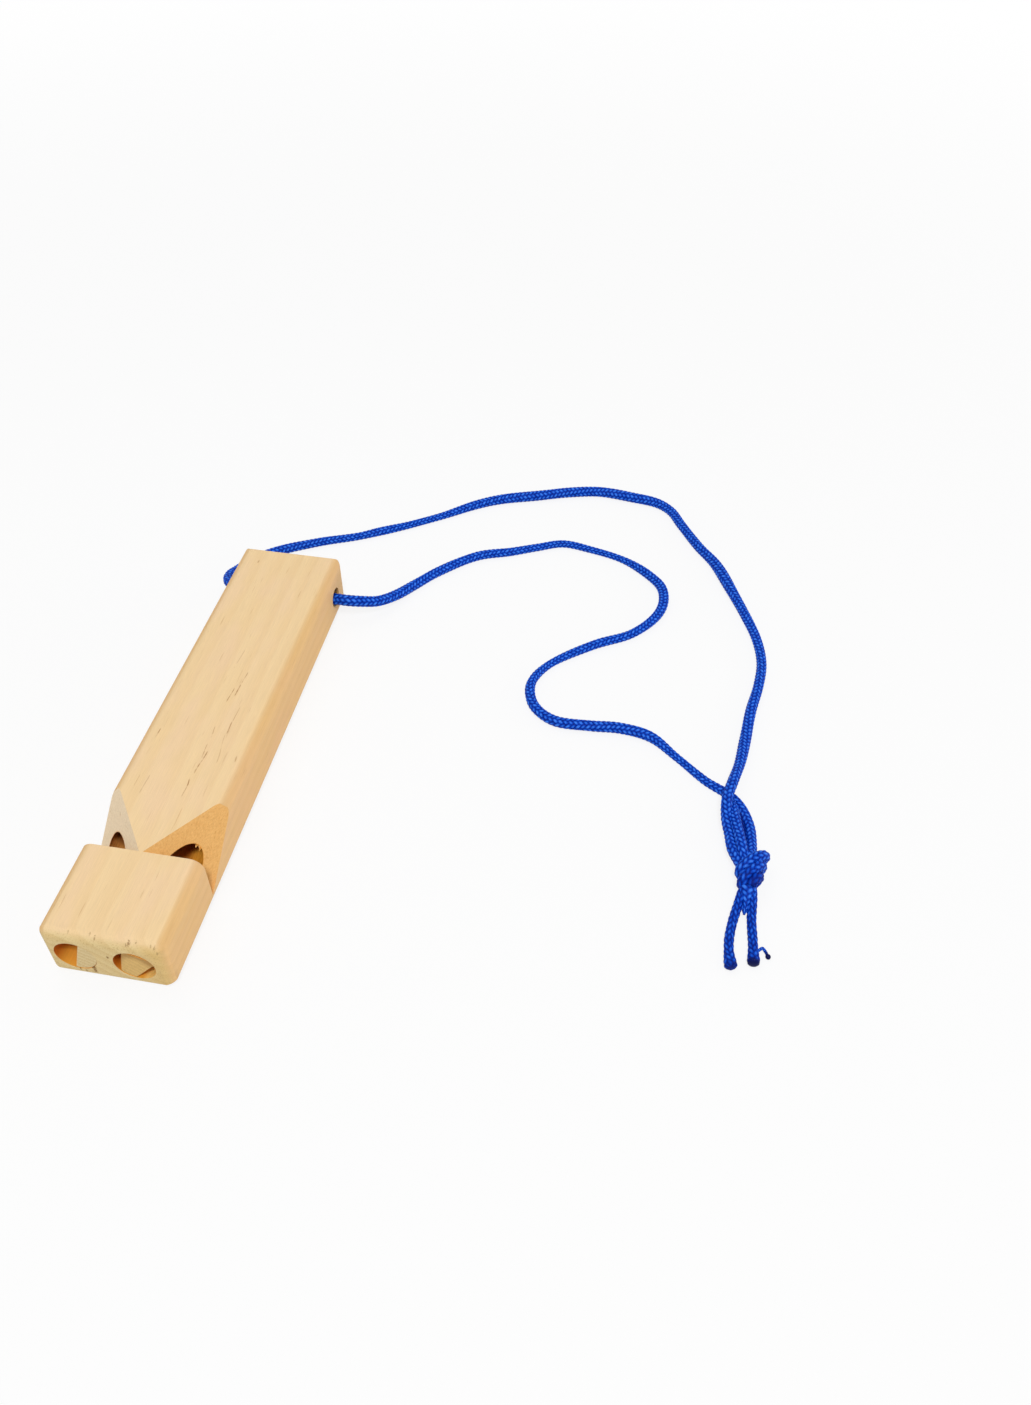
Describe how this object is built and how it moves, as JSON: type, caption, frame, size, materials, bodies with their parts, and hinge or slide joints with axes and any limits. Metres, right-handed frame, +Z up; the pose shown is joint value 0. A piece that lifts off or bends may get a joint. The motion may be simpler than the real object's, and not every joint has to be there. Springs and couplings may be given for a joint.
{
  "type": "wooden whistle",
  "caption": "Wooden two-tone block whistle with drilled sound chambers, glued mouth plugs, wedge-shaped windows and a knotted braided neck cord through a cross hole.",
  "frame": {"origin": "middle of the wooden block's flat base, on the surface that the whistle and its cord lie on", "axes": "+Y along the block from the mouth end to the cord end, +X to the right seen from the mouth end with the windows up, +Z up"},
  "size_m": [0.1483, 0.1809, 0.0146],
  "materials": {
    "pine": "sanded, unvarnished pine",
    "plug_wood": "cut end grain",
    "cord": "braided synthetic cord",
    "melted_cord": "melted thread end"
  },
  "bodies": {
    "root": {"whistle_body": "pine", "left_plug": "plug_wood", "right_plug": "plug_wood", "cord_in_hole": "cord", "cord_right_strand": "cord", "cord_left_strand": "cord", "cord_knot": "cord", "cord_left_tail": "cord", "cord_right_tail": "cord", "cord_stray_thread": "melted_cord"}
  },
  "joints": []
}
